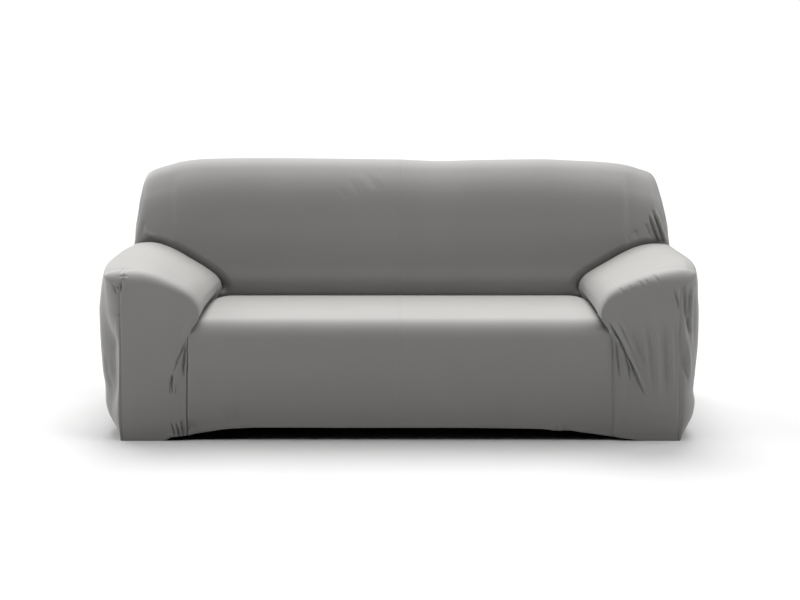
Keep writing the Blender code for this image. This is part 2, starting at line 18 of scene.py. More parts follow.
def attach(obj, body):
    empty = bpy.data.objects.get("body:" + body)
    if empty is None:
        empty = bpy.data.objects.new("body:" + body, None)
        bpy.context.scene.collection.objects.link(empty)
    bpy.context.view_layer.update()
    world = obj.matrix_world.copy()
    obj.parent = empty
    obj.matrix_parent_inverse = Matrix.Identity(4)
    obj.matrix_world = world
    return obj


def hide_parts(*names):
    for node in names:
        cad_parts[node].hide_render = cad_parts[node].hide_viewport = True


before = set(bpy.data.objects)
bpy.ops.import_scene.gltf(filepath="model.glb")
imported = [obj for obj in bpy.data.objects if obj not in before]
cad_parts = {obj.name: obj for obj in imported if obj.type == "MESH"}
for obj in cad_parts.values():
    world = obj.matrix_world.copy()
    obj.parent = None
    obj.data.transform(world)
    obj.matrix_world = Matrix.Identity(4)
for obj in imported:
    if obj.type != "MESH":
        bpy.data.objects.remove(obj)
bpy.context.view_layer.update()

# Arm panels. Each is one piece of polyester and elastane knit that runs from the tuck beside the seat
# over the rolled arm to the seam on its outer shoulder, and down the arm's front to the floor. It is
# pulled tight by its seams, and slack gathers beside them and at the foot of the tuck.
LEFT, RIGHT = 0, 1
SIDES = {"left": LEFT, "right": RIGHT}
DEPTH = 0.890
FRONT_ROUND = 0.050
CORNER_ROUND = 0.050
CREST_HEIGHT = 0.9115
WING_RECESS = 0.007
WING_STEP = (0.860, 0.884)
RECESS_FOOT = (0.55, 0.65)
RECESS_TOP = (0.82, 0.90)
LIFTED = (0.65, 0.90)
SLOPE_STEP = 0.01
LEANING_SHARE = 0.8
SEAM_TURN = math.radians(45)
SHOULDER_BULGE = 0.012
SHOULDER_DROP = 0.024
SHOULDER_START = 0.6
INNER_DROP = 0.4
BULGE_FULL = 0.3
BEND_POWER = 9
BACK_GROOVE = 0.020
BACK_GROOVE_WIDTH = 0.035
GROOVE_START = (0.05, 0.20)
GROOVE_END = (0.85, 1.0)
BACK_TUCK = 0.032
BACK_TUCK_WIDTH = 0.050
FRONT_LEAN_OUT = 0.004

# The back from its tuck, up its leaning face and over its top to the seam behind: y, z.
BACK_FACE = (
    (0.612, 0.388),
    (0.607, 0.402),
    (0.602, 0.420),
    (0.606, 0.455),
    (0.626, 0.520),
    (0.655, 0.615),
    (0.684, 0.700),
    (0.704, 0.758),
    (0.722, 0.799),
    (0.745, 0.835),
    (0.772, 0.865),
    (0.802, 0.890),
    (0.832, 0.906),
    (0.850, 0.9115),
    (0.867, 0.900),
    (0.877, 0.875),
    (0.878, 0.845),
)

# Crest of the back: x, height on the left, height on the right.
TOP_EDGE = (
    (0.000, 0.909, 0.909),
    (0.155, 0.911, 0.903),
    (0.310, 0.913, 0.907),
    (0.545, 0.915, 0.910),
    (0.700, 0.913, 0.904),
    (0.780, 0.910, 0.900),
    (0.860, 0.900, 0.892),
    (0.900, 0.889, 0.884),
    (0.940, 0.878, 0.872),
    (0.975, 0.867, 0.863),
    (1.040, 0.858, 0.855),
)

# Corner seams up the front and the back of each wing: z, x on the left, x on the right.
WING_SEAM = (
    (0.000, 1.012, 1.012),
    (0.100, 1.022, 1.022),
    (0.250, 1.033, 1.033),
    (0.450, 1.034, 1.034),
    (0.600, 1.022, 1.036),
    (0.640, 1.017, 1.030),
    (0.700, 1.008, 1.020),
    (0.780, 0.999, 1.004),
    (0.840, 0.996, 0.999),
    (0.870, 0.992, 0.992),
    (0.920, 0.984, 0.982),
)

# One arm from its tuck beside the seat, over its roll, to the seam on its outer shoulder. Columns: x,
# and z on the left and right, where it meets the back; x, and z on the left and right, where its front
# starts to round; x, y and z where its front starts to drop; x at the hem; how early the drop spreads
# out to that x.
ARM = (
    (0.706, 0.388, 0.388, 0.731, 0.390, 0.390, 0.733, 0.010, 0.366, 0.745, 1.0),
    (0.695, 0.412, 0.410, 0.717, 0.415, 0.413, 0.720, 0.006, 0.396, 0.755, 12.0),
    (0.687, 0.430, 0.427, 0.697, 0.436, 0.430, 0.702, 0.004, 0.418, 0.762, 10.0),
    (0.684, 0.446, 0.442, 0.687, 0.455, 0.445, 0.693, 0.002, 0.437, 0.769, 8.0),
    (0.688, 0.464, 0.460, 0.688, 0.479, 0.470, 0.695, 0.001, 0.458, 0.778, 6.0),
    (0.701, 0.483, 0.480, 0.699, 0.506, 0.502, 0.705, 0.000, 0.480, 0.790, 4.5),
    (0.728, 0.504, 0.500, 0.721, 0.530, 0.529, 0.724, 0.000, 0.500, 0.802, 3.5),
    (0.764, 0.5265, 0.520, 0.752, 0.549, 0.548, 0.748, 0.000, 0.515, 0.820, 2.6),
    (0.802, 0.548, 0.541, 0.788, 0.566, 0.563, 0.782, 0.000, 0.529, 0.838, 2.0),
    (0.838, 0.569, 0.561, 0.827, 0.582, 0.578, 0.817, 0.000, 0.541, 0.860, 1.7),
    (0.872, 0.586, 0.578, 0.865, 0.593, 0.589, 0.850, 0.000, 0.549, 0.880, 1.4),
    (0.903, 0.598, 0.591, 0.898, 0.598, 0.596, 0.880, 0.000, 0.553, 0.902, 1.2),
    (0.932, 0.606, 0.599, 0.928, 0.599, 0.601, 0.905, 0.000, 0.554, 0.920, 1.0),
    (0.962, 0.609, 0.603, 0.960, 0.598, 0.604, 0.932, 0.000, 0.555, 0.941, 1.0),
    (0.988, 0.608, 0.603, 0.985, 0.595, 0.603, 0.950, 0.001, 0.552, 0.957, 1.0),
    (1.008, 0.605, 0.601, 1.006, 0.590, 0.597, 0.958, 0.002, 0.547, 0.966, 1.0),
    (1.022, 0.601, 0.598, 1.022, 0.582, 0.588, 0.962, 0.004, 0.540, 0.972, 1.0),
)

# Front hem above the floor: x, height on the left, height on the right.
HEM = (
    (0.000, 0.045, 0.045),
    (0.175, 0.045, 0.045),
    (0.490, 0.046, 0.041),
    (0.550, 0.044, 0.035),
    (0.590, 0.042, 0.036),
    (0.628, 0.038, 0.030),
    (0.673, 0.031, 0.024),
    (0.711, 0.025, 0.018),
    (0.745, 0.019, 0.014),
    (0.780, 0.015, 0.009),
    (0.802, 0.012, 0.007),
    (0.820, 0.001, 0.002),
    (0.835, 0.000, 0.000),
    (1.000, 0.000, 0.000),
)


def smooth(at, stations, values):
    """A curve through the values that a table gives at its stations, which never overshoots them."""
    stations, values = np.asarray(stations, float), np.asarray(values, float)
    rises = np.diff(values) / np.diff(stations)
    same_way = rises[1:] * rises[:-1] > 0
    sums = np.where(same_way, rises[1:] + rises[:-1], 1)
    slopes = np.concatenate([rises[:1], np.where(same_way, 2 * rises[1:] * rises[:-1] / sums, 0), rises[-1:]])
    first = np.clip(np.searchsorted(stations, at, side="right") - 1, 0, len(stations) - 2)
    step = stations[first + 1] - stations[first]
    t = np.clip((at - stations[first]) / step, 0, 1)
    start = (1 + 2 * t) * (1 - t) ** 2 * values[first] + t * (1 - t) ** 2 * step * slopes[first]
    end = t * t * (3 - 2 * t) * values[first + 1] + t * t * (t - 1) * step * slopes[first + 1]
    return start + end


def look_up(rows, at, column):
    table = np.asarray(rows, float)
    return smooth(at, table[:, 0], table[:, column])


def ramp(at, low, high):
    """0 below low and 1 above high, with a soft start and end."""
    t = np.clip((at - low) / (high - low), 0, 1)
    return t * t * (3 - 2 * t)


def mix(first, second, share):
    return first + (second - first) * share


def lengths_along(rows):
    """The share of its length at which a curve reaches each row."""
    steps = np.linalg.norm(np.diff(np.asarray(rows, float), axis=0), axis=1)
    return np.concatenate([[0], np.cumsum(steps)]) / steps.sum()


BACK_SHARES = lengths_along(BACK_FACE)
ARM_SHARES = lengths_along([row[:2] for row in ARM])


def back_line(share, hand, x):
    """The back's section at x before its corner is rounded: y, z and the outward normal's y and z."""
    y_at, z_at = np.transpose(BACK_FACE)
    y, z = smooth(share, BACK_SHARES, y_at), smooth(share, BACK_SHARES, z_at)
    ahead, behind = np.minimum(share + SLOPE_STEP, 1), np.maximum(share - SLOPE_STEP, 0)
    along_y = smooth(ahead, BACK_SHARES, y_at) - smooth(behind, BACK_SHARES, y_at)
    along_z = smooth(ahead, BACK_SHARES, z_at) - smooth(behind, BACK_SHARES, z_at)
    length = np.hypot(along_y, along_z)
    recess = WING_RECESS * ramp(x, *WING_STEP) * ramp(z, *RECESS_FOOT) * (1 - ramp(z, *RECESS_TOP))
    lift = (look_up(TOP_EDGE, x, 1 + hand) - CREST_HEIGHT) * ramp(z, *LIFTED)
    return y + recess, z + lift, -along_z / length, along_y / length


def corner_drop(x, seam):
    """How far a face has turned away towards its corner seam, which is half way round the corner."""
    reach = np.clip((x - seam) / CORNER_ROUND + math.sin(SEAM_TURN), 0, math.sin(SEAM_TURN))
    return CORNER_ROUND * (1 - np.sqrt(1 - reach**2))


def back_skin(x, share, hand):
    y, z, normal_y, normal_z = back_line(share, hand, x)
    drop = corner_drop(x, look_up(WING_SEAM, z, 1 + hand))
    return np.stack([x + 0 * y, y - normal_y * drop, z - normal_z * drop], axis=-1)


def back_share(height):
    """Where up the leaning face the back reaches a height."""
    shares = np.linspace(0, LEANING_SHARE, 601)
    heights = smooth(shares, BACK_SHARES, np.transpose(BACK_FACE)[1])
    return np.interp(height, heights, shares)


def arm_column(across, column):
    return smooth(across, ARM_SHARES, [row[column] for row in ARM])


def arm_seam_height(across, hand):
    """Height of the seam between arm and back, which lies in a groove except at its two ends."""
    groove = BACK_GROOVE * ramp(across, *GROOVE_START) * (1 - ramp(across, *GROOVE_END))
    return arm_column(across, 1 + hand) - groove, groove


def arm_skin(across, forward, hand):
    """An arm. forward is 0 at the back, 1 where the front starts to round, 2 where it drops, 3 at the hem."""
    seam_z, groove = arm_seam_height(across, hand)
    outer = ramp(across, SHOULDER_START, 1)
    rear_x = arm_column(across, 0)
    rear_x = rear_x + (look_up(WING_SEAM, seam_z, 1 + hand) - ARM[-1][0]) * outer
    rear = back_skin(rear_x, back_share(seam_z), hand)
    rear[..., 1] += groove / BACK_GROOVE * BACK_TUCK
    brim_x, brim_z = arm_column(across, 3), arm_column(across, 4 + hand)
    front_x, front_y, front_z = (arm_column(across, column) for column in (6, 7, 8))
    hem_x = arm_column(across, 9)
    back = np.clip(forward, 0, 1)
    turn = np.clip(forward - 1, 0, 1) * math.pi / 2
    down = np.clip(forward - 2, 0, 1)
    y = mix(rear[..., 1], FRONT_ROUND, back)
    out_of_groove = np.clip((rear[..., 1] - y) / BACK_GROOVE_WIDTH, 0, 1)
    drop = SHOULDER_DROP * mix(INNER_DROP, 1, outer)
    bulge = SHOULDER_BULGE * outer
    x = mix(rear[..., 0], brim_x + bulge, ramp(back, 0, BULGE_FULL)) - bulge * back**BEND_POWER
    z = mix(rear[..., 2] + groove, brim_z + drop, back) - drop * back**BEND_POWER
    z = z - groove * (1 - np.sqrt(1 - (1 - out_of_groove) ** 2))
    x = mix(x, front_x, 1 - np.cos(turn))
    x = mix(x, hem_x, 1 - (1 - down) ** arm_column(across, 10))
    y = y - (FRONT_ROUND - front_y) * np.sin(turn) + down * FRONT_LEAN_OUT
    z = mix(z, front_z, 1 - np.cos(turn))
    z = mix(z, look_up(HEM, hem_x, 1 + hand), down)
    return np.stack([x, y, z], axis=-1)


# Spacing of the cloth's points: near a seam, along the arm, round its front edge and down its drop,
# which ends in the turned hem.
BESIDE_SEAM = np.array((0.0, 0.0018, 0.0038, 0.0065, 0.0100))
HEM_WIDTH = 0.016
BESIDE_HEM = np.array((0.0, 0.0060, 0.0120, 0.0145, 0.0160, 0.0175, 0.0210, 0.0260))


def shares(length, spacing, start=BESIDE_SEAM, end=BESIDE_SEAM):
    """Shares of a length at an even spacing, with closer points beside its start and its end."""
    inner = np.linspace(start[-1], length - end[-1], max(2, round((length - start[-1] - end[-1]) / spacing)))
    return np.concatenate([start[:-1], inner, length - end[-2::-1]]) / length


PLAIN = np.array((0.0,))
ARM_ACROSS = shares(0.46, 0.0037)
BESIDE_GROOVE = np.array((0.0, 0.0018, 0.0038, 0.0065, 0.010, 0.014, 0.019, 0.025, 0.032, 0.040))
FORWARD = np.concatenate(
    [shares(0.60, 0.0060, BESIDE_GROOVE, PLAIN), 1 + shares(0.08, 0.0045, PLAIN, PLAIN)[1:]]
)
DROP = shares(0.45, 0.0035, PLAIN, BESIDE_HEM)
FORWARD_AND_DOWN = np.concatenate([FORWARD, 2 + DROP[1:]])
KNIT_THICKNESS = 0.0014
SEAM_SWELL = 0.0012
SEAM_REACH = 0.0055
FOLDS_FADE = 0.0035
HEM_STEP = 0.0007
HEM_STEP_SPAN = (HEM_WIDTH - 0.001, HEM_WIDTH + 0.003)
HEM_STITCH_DEPTH = 0.0009
HEM_STITCH_WIDTH = 0.0016
HIGHEST_HEM = 0.05
ON_FLOOR = 0.002
SAME_POINT = 0.0001
FAR_AWAY = 10.0
FOLD_REACH = 5
SHOULDER_AWAY, SHOULDER_SPREAD = 1.9, 1.6


def fold(flat, path, width, height, shoulder=0.0, tips=(0.3, 0.4), widen=1.0):
    """Height at each flat place of a soft ridge along a path, or of a trough if height is negative.

    Width and height are in millimetres. A shoulder is a lower fold of the other sign on the path's left.
    The fold fades out over its tips, and is widen times as wide at its end as at its start.
    """
    path = np.asarray(path, float)
    width, height = width / 1000, height / 1000
    reach = FOLD_REACH * width * max(widen, 1)
    inside = np.all((flat > path.min(0) - reach) & (flat < path.max(0) + reach), axis=1)
    near = flat[inside]
    reached = lengths_along(path)
    best, aside, along = (np.full(len(near), value) for value in (np.inf, 0.0, 0.0))
    for start, end, low, high in zip(path, path[1:], reached, reached[1:]):
        step, away = end - start, near - start
        share = np.clip(away @ step / (step @ step), 0, 1)
        gap = np.linalg.norm(away - share[:, None] * step, axis=1)
        left = np.sign(step[0] * away[:, 1] - step[1] * away[:, 0])
        closer = gap < best
        best = np.where(closer, gap, best)
        aside = np.where(closer, gap * left, aside)
        along = np.where(closer, mix(low, high, share), along)
    width = width * mix(1, widen, along)
    fade = ramp(along, 0, tips[0]) * ramp(1 - along, 0, tips[1]) if tips else 1
    profile = np.exp(-((aside / width) ** 2))
    profile -= shoulder * np.exp(-((aside / width - SHOULDER_AWAY) ** 2) / SHOULDER_SPREAD)
    heights = np.zeros(len(flat))
    heights[inside] = height * fade * profile
    return heights


def swell(gap, reach):
    """Share of a seam's swell at a gap from it: none on the seam, full at its reach, and less beyond."""
    return gap / reach * np.exp(1 - gap / reach)


def distance_to(sheet, edges):
    """Each point's distance to the nearest of these edges."""
    shares_along = (0, 0.2, 0.4, 0.6, 0.8)
    tree = KDTree(len(edges) * len(shares_along) or 1)
    for edge in edges:
        for share in shares_along:
            tree.insert(edge.verts[0].co.lerp(edge.verts[1].co, share), 0)
    tree.balance()
    if not edges:
        return np.full(len(sheet.verts), FAR_AWAY)
    return np.array([tree.find(vert.co)[2] for vert in sheet.verts])


def lay_block(sheet, cut, surface, hand, first, second, planar):
    """Adds a grid of cloth on a skin, and notes where each of its points lies in the flat cut cloth."""
    columns, rows = len(first), len(second)
    made = bmesh.ops.create_grid(sheet, x_segments=columns - 1, y_segments=rows - 1, size=0.5)["verts"]
    at = np.array([vert.co[:2] for vert in made])
    column = np.rint((at[:, 0] + 0.5) * (columns - 1)).astype(int)
    row = np.rint((at[:, 1] + 0.5) * (rows - 1)).astype(int)
    mesh_first, mesh_second = np.meshgrid(first, second)
    places = surface(mesh_first, mesh_second, hand)
    places = places * (1 if hand == RIGHT else -1, 1, 1) - (0, DEPTH / 2, 0)
    if planar:
        flat = places[..., [1, 2]]
    else:
        across = np.linalg.norm(np.diff(places, axis=1), axis=2)
        down = np.linalg.norm(np.diff(places, axis=0), axis=2)
        flat = np.stack(
            [np.pad(np.cumsum(across, 1), ((0, 0), (1, 0))), np.pad(np.cumsum(down, 0), ((1, 0), (0, 0)))], -1
        )
    for vert, place, (u, v) in zip(made, places[row, column], flat[row, column]):
        vert.co = Vector(place)
        vert[cut] = Vector((u, v, 0))


def sew_panel(name, hand, blocks, faces_to, relief, planar=False):
    """One panel: its blocks of cloth joined, raised by its folds, and given the cloth's thickness.

    Every relief is called with the points, the hand, and each point's distance to a seam and to a hem.
    """
    sheet = bmesh.new()
    cut = sheet.verts.layers.float_vector.new("cut")
    for surface, first, second in blocks:
        lay_block(sheet, cut, surface, hand, first, second, planar)
    bmesh.ops.remove_doubles(sheet, verts=sheet.verts[:], dist=SAME_POINT)
    bmesh.ops.recalc_face_normals(sheet, faces=sheet.faces[:])
    outward = sum((face.normal * face.calc_area() for face in sheet.faces), Vector())
    if outward.dot(Vector(faces_to)) < 0:
        bmesh.ops.reverse_faces(sheet, faces=sheet.faces[:])
    sheet.normal_update()
    rims = [edge for edge in sheet.edges if edge.is_boundary]
    hems, seams = [], []
    for edge in rims:
        edge.smooth = False
        run = edge.verts[1].co - edge.verts[0].co
        level = abs(run.z) < 0.5 * run.length
        (hems if level and edge.verts[0].co.z < HIGHEST_HEM else seams).append(edge)
    seam, hem = distance_to(sheet, seams), distance_to(sheet, hems)
    places = np.array([vert.co for vert in sheet.verts])
    normals = np.array([vert.normal for vert in sheet.verts])
    cut_places = np.array([vert[cut][:2] for vert in sheet.verts])
    heights = relief(places, hand, seam, hem) * (1 - np.exp(-((seam / FOLDS_FADE) ** 2)))
    heights += SEAM_SWELL * swell(seam, SEAM_REACH)
    heights += HEM_STEP * (1 - ramp(hem, *HEM_STEP_SPAN))
    heights -= HEM_STITCH_DEPTH * np.exp(-(((hem - HEM_WIDTH) / HEM_STITCH_WIDTH) ** 2))
    mesh = bpy.data.meshes.new(name)
    sheet.to_mesh(mesh)
    sheet.free()
    moved = places + normals * heights[:, None]
    moved[:, 2] = np.where(places[:, 2] < ON_FLOOR, places[:, 2], np.maximum(moved[:, 2], 0))
    mesh.vertices.foreach_set("co", moved.astype(np.float32).ravel())
    corners = np.empty(len(mesh.loops), np.int32)
    mesh.loops.foreach_get("vertex_index", corners)
    uv_map = mesh.uv_layers.new(name="cut_cloth")
    uv_map.uv.foreach_set("vector", cut_places[corners].astype(np.float32).ravel())
    mesh.attributes.remove(mesh.attributes["cut"])
    mesh.polygons.foreach_set("use_smooth", np.ones(len(mesh.polygons), bool))
    mesh.update()
    panel = bpy.data.objects.new(name, mesh)
    bpy.context.scene.collection.objects.link(panel)
    thickness = panel.modifiers.new("knit thickness", "SOLIDIFY")
    thickness.thickness = KNIT_THICKNESS
    thickness.offset = -1
    mesh.materials.append(grey_stretch_knit)
    return panel


def linear(code):
    """A colour from its sRGB hex code."""
    parts = [int(code[place : place + 2], 16) / 255 for place in (1, 3, 5)]
    return (*(part / 12.92 if part <= 0.04045 else ((part + 0.055) / 1.055) ** 2.4 for part in parts), 1)


def node(tree, kind, inputs, **settings):
    """Adds a node with its settings. An input that is another node's output is linked to it."""
    made = tree.nodes.new(kind)
    for name, value in settings.items():
        setattr(made, name, value)
    for name, value in inputs.items():
        if isinstance(value, bpy.types.NodeSocket):
            tree.links.new(value, made.inputs[name])
        else:
            made.inputs[name].default_value = value
    return made


# Polyester and elastane jersey, circular knitted, dyed one grey and brushed on its face. To the eye it
# is smooth and matt, with a faint satin sheen where it is stretched over an edge. Its wales are 0.9 mm
# apart, too fine to show, so they are drawn 2 mm apart and very shallow.
KNIT_GREY, KNIT_GREY_WORN = linear("#868583"), linear("#8C8B89")
WALE_SPACING = 0.0020
COURSE_SPACING = 0.0016
# A wave texture at scale 1 draws 20 / tau bands to the metre, so a spacing is turned into a scale by this.
WAVE_UNIT = math.tau / 20
grey_stretch_knit = bpy.data.materials.new("grey_stretch_knit_jersey")
grey_stretch_knit.use_nodes = True
knit_tree = grey_stretch_knit.node_tree
knit_shader = knit_tree.nodes["Principled BSDF"]
cut_cloth = node(knit_tree, "ShaderNodeUVMap", {}, uv_map="cut_cloth").outputs["UV"]
on_cover = node(knit_tree, "ShaderNodeTexCoord", {}).outputs["Object"]
wales, courses = (
    node(
        knit_tree, "ShaderNodeTexWave", {"Vector": cut_cloth, "Scale": WAVE_UNIT / spacing},
        bands_direction=way,
    )
    for spacing, way in ((WALE_SPACING, "X"), (COURSE_SPACING, "Y"))
)
loops = node(
    knit_tree, "ShaderNodeMath", {0: wales.outputs["Fac"], 1: courses.outputs["Fac"]}, operation="MULTIPLY"
)
pull = node(
    knit_tree, "ShaderNodeTexNoise", {"Vector": on_cover, "Scale": 5.0, "Detail": 3.0, "Roughness": 0.5}
)
fuzz = node(knit_tree, "ShaderNodeTexNoise", {"Vector": on_cover, "Scale": 260.0, "Detail": 2.0})
colour = node(knit_tree, "ShaderNodeMix", {"Factor": pull.outputs["Fac"]}, data_type="RGBA")
colour.inputs[6].default_value, colour.inputs[7].default_value = KNIT_GREY, KNIT_GREY_WORN
knit_tree.links.new(colour.outputs[2], knit_shader.inputs["Base Color"])
bumps = node(knit_tree, "ShaderNodeBump", {"Height": loops.outputs[0], "Strength": 0.25, "Distance": 0.00015})
bumps = node(
    knit_tree, "ShaderNodeBump",
    {"Height": fuzz.outputs["Fac"], "Strength": 0.15, "Distance": 0.0004, "Normal": bumps.outputs["Normal"]},
)
knit_tree.links.new(bumps.outputs["Normal"], knit_shader.inputs["Normal"])
knit_shader.inputs["Roughness"].default_value = 0.62
knit_shader.inputs["IOR"].default_value = 1.45
knit_shader.inputs["Specular IOR Level"].default_value = 0.35
knit_shader.inputs["Sheen Weight"].default_value = 0.12
knit_shader.inputs["Sheen Roughness"].default_value = 0.45

# Folds on each arm panel, seen from the front. Columns: path of x, z; half width; height; shoulder.
ARM_FOLDS = {
    LEFT: (
        # Crease that leaves the tuck's foot, the pocket at its end, and three short wrinkles below that.
        (
            ((-0.733, 0.371), (-0.747, 0.338), (-0.756, 0.317), (-0.769, 0.289), (-0.779, 0.259),
             (-0.788, 0.231)),
            2.8, -7.4, 0.5,
        ),
        (((-0.787, 0.244), (-0.793, 0.207), (-0.792, 0.176)), 4.2, -12.0, 0.4),
        (((-0.7985, 0.205), (-0.7990, 0.168)), 2.4, -4.2),
        (((-0.7895, 0.195), (-0.7900, 0.165)), 2.4, -4.2),
        (((-0.7795, 0.206), (-0.7800, 0.160)), 2.4, -3.5),
        # Deep crease beside the seam.
        (
            ((-0.738, 0.368), (-0.743, 0.320), (-0.747, 0.283), (-0.750, 0.262), (-0.751, 0.220)),
            3.6, -15.2, 0.5,
        ),
        # Soft fold that falls across the front from the inner end of the roll.
        (((-0.700, 0.440), (-0.735, 0.400), (-0.760, 0.350)), 8.0, 3.8),
        # Pleats that fan up from the tuck's foot.
        (((-0.784, 0.016), (-0.789, 0.038), (-0.800, 0.070)), 2.6, -7.0),
        (((-0.7765, 0.010), (-0.7815, 0.033), (-0.7910, 0.062)), 2.6, 7.0),
        (((-0.769, 0.010), (-0.774, 0.036), (-0.783, 0.072)), 2.6, -6.7),
        (((-0.7635, 0.010), (-0.768, 0.040), (-0.775, 0.078)), 2.6, 6.4),
        (((-0.757, 0.012), (-0.761, 0.040), (-0.765, 0.082)), 2.6, -7.0),
        (((-0.751, 0.018), (-0.752, 0.045), (-0.753, 0.088)), 2.4, 5.1),
        # Gathers where the roll, the front and the side meet.
        (((-0.956, 0.566), (-0.957, 0.548), (-0.959, 0.524)), 4.0, -10.4, 0.5),
        (((-0.962, 0.572), (-0.950, 0.577), (-0.934, 0.575)), 2.8, 6.4, 0.8),
        (((-0.951, 0.604), (-0.963, 0.588)), 3.0, -3.8),
        (((-0.935, 0.604), (-0.946, 0.590)), 3.4, -2.9),
    ),
    RIGHT: (
        # Long crease from the tuck's foot down across the front, and the two beside it.
        (((0.722, 0.425), (0.741, 0.390), (0.758, 0.362), (0.788, 0.300), (0.802, 0.272), (0.834, 0.204),
          (0.861, 0.148)), 3.4, -11.0, 1.0, (0.15, 0.35)),
        (((0.775, 0.328), (0.785, 0.292), (0.794, 0.261), (0.801, 0.212)), 3.2, -7.5, 0.4),
        (((0.783, 0.305), (0.796, 0.266)), 3.0, 4.5),
        (((0.7385, 0.384), (0.7400, 0.345), (0.7410, 0.308)), 2.8, -6.9),
        (((0.745, 0.378), (0.749, 0.340), (0.752, 0.311), (0.760, 0.249), (0.768, 0.210)), 3.8, -7.5, 0.3),
        # Soft folds that fall from the roll.
        (((0.728, 0.440), (0.748, 0.405), (0.775, 0.355), (0.805, 0.290)), 6.5, 7.4),
        (((0.745, 0.445), (0.768, 0.405), (0.795, 0.345), (0.815, 0.300)), 5.0, 4.8),
        (((0.790, 0.410), (0.825, 0.331), (0.864, 0.232)), 6.0, -4.2),
        (((0.818, 0.440), (0.840, 0.360), (0.862, 0.262)), 7.0, 4.8),
        (((0.846, 0.440), (0.868, 0.300), (0.880, 0.150)), 7.0, -4.8),
        (((0.870, 0.450), (0.884, 0.396), (0.894, 0.270), (0.904, 0.130)), 8.0, 5.8),
        (((0.906, 0.440), (0.918, 0.300), (0.928, 0.140)), 7.0, -5.4),
        (((0.928, 0.450), (0.940, 0.330), (0.948, 0.160)), 7.0, 4.8),
        (((0.938, 0.548), (0.946, 0.527), (0.955, 0.491), (0.959, 0.455)), 4.0, -6.4, 0.4),
        # Small puckers under the edge of the roll.
        (((0.752, 0.541), (0.770, 0.522)), 3.4, -2.6, 0.4),
        (((0.783, 0.552), (0.800, 0.530)), 3.4, -2.4, 0.4),
        (((0.818, 0.567), (0.838, 0.542)), 3.4, -2.6, 0.4),
        (((0.838, 0.572), (0.858, 0.550)), 3.4, -2.4, 0.4),
        (((0.868, 0.586), (0.892, 0.560)), 3.4, -2.4, 0.4),
    ),
}


# How far the cloth swells beside the tuck's seam on the front, and how far from the seam.
TUCK_SWELL = 0.0045
TUCK_REACH = 0.0055
TUCK_FADES = (0.27, 0.34)


def tuck_depth(height, hand):
    """Share of the tuck's full groove: the right one is pulled out flat below the tuck's foot."""
    return 1 - hand * (1 - ramp(height, *TUCK_FADES))


# Where the front gives way to the top, behind the front face, and where the tuck's swell ends on the arm.
FRONT_ENDS = (0.045, 0.075)
ARM_TUCK_ENDS = (0.76, 0.80)


def arm_relief(places, hand, seam, hem):
    front = places[:, [0, 2]]
    on_front = 1 - ramp(places[:, 1] + DEPTH / 2, *FRONT_ENDS)
    heights = sum(fold(front, *row) for row in ARM_FOLDS[hand]) * on_front
    # The tuck's seam lies in a groove on the front.
    at_tuck = (1 - ramp(np.abs(places[:, 0]), *ARM_TUCK_ENDS)) * tuck_depth(places[:, 2], hand)
    return heights + on_front * at_tuck * TUCK_SWELL * swell(seam, TUCK_REACH)


for side, hand in SIDES.items():
    panel = sew_panel(
        f"knit_arm_{side}", hand, [(arm_skin, ARM_ACROSS, FORWARD_AND_DOWN)], (0, -1, 1), arm_relief
    )
    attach(panel, "root")
    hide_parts(f"arm_panel_{side}")

# Seat panels. Each covers half of the seat cushion, rounds its front edge and hangs to the front hem,
# from the middle seam to the tuck beside the arm.
SEAT_ROUND = 0.070
FRONT_LEAN = 0.012
REAR_TUCK_WIDTH = 0.105
TUCK_WIDTH = 0.065
DROP_TUCK_WIDTH = 0.026

# The seat from its tuck at the back to where the front edge starts to round: y, z.
SEAT_TOP = (
    (0.065, 0.431),
    (0.150, 0.433),
    (0.300, 0.434),
    (0.420, 0.433),
    (0.500, 0.427),
    (0.560, 0.414),
    (0.595, 0.399),
    (0.612, 0.388),
)
HALF_SEAT = shares(0.72, 0.0068)
SEAT_FORWARD = np.concatenate([shares(0.60, 0.0090, end=PLAIN), 1 + shares(0.08, 0.005, PLAIN, PLAIN)[1:]])
SEAT_FORWARD_AND_DOWN = np.concatenate([SEAT_FORWARD, 2 + shares(0.45, 0.0046, PLAIN, BESIDE_HEM)[1:]])


def seat_skin(share, forward, hand):
    """Half the seat and its front drop. share is 0 at the middle of the sofa and 1 at the arm's tuck."""
    tuck = arm_skin(np.zeros_like(forward), forward, hand)
    x = share * tuck[..., 0]
    turn = np.clip(forward - 1, 0, 1) * math.pi / 2
    down = np.clip(forward - 2, 0, 1)
    y = mix(SEAT_TOP[-1][0], SEAT_ROUND, np.clip(forward, 0, 1))
    z = look_up(SEAT_TOP, y, 1) - SEAT_ROUND * (1 - np.cos(turn))
    y = y - SEAT_ROUND * np.sin(turn) + FRONT_LEAN * down**2
    z = mix(z, look_up(HEM, x, 1 + hand), down)
    width = mix(REAR_TUCK_WIDTH, TUCK_WIDTH, np.clip(2 * forward, 0, 1))
    width = mix(width, DROP_TUCK_WIDTH, np.clip(forward - 1, 0, 1))
    tucked = np.clip(1 - (tuck[..., 0] - x) / width, 0, 1) ** 2
    return np.stack([x, mix(y, tuck[..., 1], tucked), mix(z, tuck[..., 2], tucked)], axis=-1)


